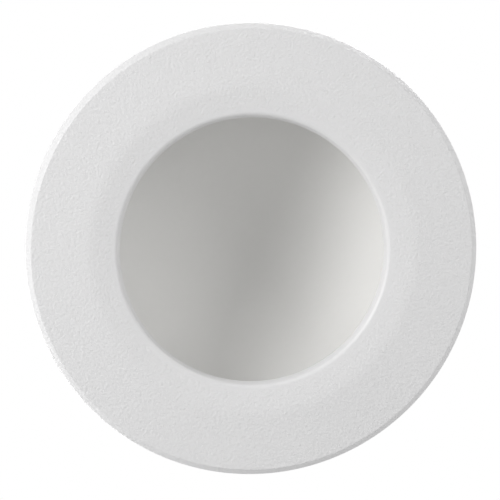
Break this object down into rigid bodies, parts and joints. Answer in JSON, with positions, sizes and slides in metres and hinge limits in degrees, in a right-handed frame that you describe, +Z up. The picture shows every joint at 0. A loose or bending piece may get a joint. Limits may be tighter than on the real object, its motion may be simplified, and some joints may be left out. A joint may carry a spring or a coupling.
{
  "type": "recessed downlight",
  "caption": "Round recessed ceiling downlight: white trim ring with a deep matt dome lit from a hidden ring, finned housing, driver box and sprung clips.",
  "frame": {"origin": "centre of the ceiling hole, on the ceiling's lower face, which is the gasket's upper face", "axes": "+Z up into the ceiling along the light's centre line, so the light shines down; the two clips lie along X, the lead to the light ring at +Y and the mains inlet at -Y"},
  "size_m": [0.18, 0.18, 0.085],
  "materials": {
    "white_paint": "fine textured matt powder coat",
    "dome_white": "smooth dead matt paint",
    "gasket_foam": "closed-cell foam",
    "thermal_sheet": "soft filled silicone",
    "white_board": "white solder mask on aluminium",
    "phosphor": "yellow phosphor in silicone",
    "diffuser": "opal acrylic",
    "die_cast": "satin powder coat on cast aluminium",
    "white_plastic": "moulded nylon",
    "lead_jacket": "matt white lead jacket",
    "black_rubber": "matt rubber",
    "case_plastic": "finely grained polycarbonate",
    "green_board": "green solder mask on glass fibre",
    "ferrite": "sintered ferrite with amber tape",
    "can_sleeve": "shrunk sleeve, aluminium top",
    "chip_black": "moulded epoxy",
    "terminal_grey": "moulded polyamide",
    "zinc_steel": "bright zinc plate",
    "wire_brown": "insulated wire",
    "wire_blue": "insulated wire",
    "wire_green": "insulated wire, green and yellow",
    "button_orange": "moulded polyamide",
    "foot_rubber": "soft grey sleeve",
    "spring_steel": "galvanised spring steel"
  },
  "bodies": {
    "light": {"trim_ring": "white_paint", "ceiling_gasket": "gasket_foam", "thermal_pad": "thermal_sheet", "led_board": "white_board", "led_chips": "phosphor", "board_screws": "zinc_steel", "diffuser_ring": "diffuser", "dome_seal": "gasket_foam", "reflector_dome": "dome_white", "rear_housing": "die_cast", "housing_screws": "zinc_steel", "board_plug": "white_plastic", "led_lead": "lead_jacket", "rim_grommet": "black_rubber", "case_grommet": "black_rubber", "driver_case": "case_plastic", "case_screws": "zinc_steel", "driver_board": "green_board", "driver_board_screws": "zinc_steel", "transformer": "ferrite", "input_capacitor": "can_sleeve", "output_capacitor": "can_sleeve", "emc_choke": "ferrite", "power_chips": "chip_black", "output_plug": "white_plastic", "driver_cover": "case_plastic", "cover_screws": "zinc_steel", "terminal_block": "terminal_grey", "lid_pin": "zinc_steel", "inlet_grommet": "black_rubber", "cable_clamp": "case_plastic", "clamp_screws": "zinc_steel", "live_wire": "wire_brown", "neutral_wire": "wire_blue", "earth_wire": "wire_green", "clip_1_bracket": "spring_steel", "clip_1_pin": "zinc_steel", "clip_1_screws": "zinc_steel", "clip_1_spring": "spring_steel", "clip_2_bracket": "spring_steel", "clip_2_pin": "zinc_steel", "clip_2_screws": "zinc_steel", "clip_2_spring": "spring_steel"},
    "clip_1": {"clip_1_arm": "spring_steel", "clip_1_foot": "foot_rubber"},
    "clip_2": {"clip_2_arm": "spring_steel", "clip_2_foot": "foot_rubber"},
    "mains_lid": {"terminal_lid": "case_plastic"},
    "button_1": {"release_button_1": "button_orange"},
    "button_2": {"release_button_2": "button_orange"},
    "button_3": {"release_button_3": "button_orange"}
  },
  "joints": [
    {"name": "clip_1_fold", "type": "hinge", "parent": "light", "child": "clip_1", "pos_m": [0.0735, 0, 0.017], "axis": [0, -1, 0], "range_deg": [0, 130], "stiffness_Nm_per_rad": 0.12, "springref_deg": -57.3, "deforming": ["clip_1_spring"]},
    {"name": "clip_2_fold", "type": "hinge", "parent": "light", "child": "clip_2", "pos_m": [-0.0735, 0, 0.017], "axis": [0, 1, 0], "range_deg": [0, 130], "stiffness_Nm_per_rad": 0.12, "springref_deg": -57.3, "deforming": ["clip_2_spring"]},
    {"name": "terminal_lid_hinge", "type": "hinge", "parent": "light", "child": "mains_lid", "pos_m": [0, -0.053, 0.072], "axis": [1, 0, 0], "range_deg": [0, 110]},
    {"name": "release_1_press", "type": "slide", "parent": "light", "child": "button_1", "axis": [0, 0, -1], "range_m": [0, 0.0012], "stiffness_N_per_m": 800, "springref_m": -0.0005},
    {"name": "release_2_press", "type": "slide", "parent": "light", "child": "button_2", "axis": [0, 0, -1], "range_m": [0, 0.0012], "stiffness_N_per_m": 800, "springref_m": -0.0005},
    {"name": "release_3_press", "type": "slide", "parent": "light", "child": "button_3", "axis": [0, 0, -1], "range_m": [0, 0.0012], "stiffness_N_per_m": 800, "springref_m": -0.0005}
  ]
}
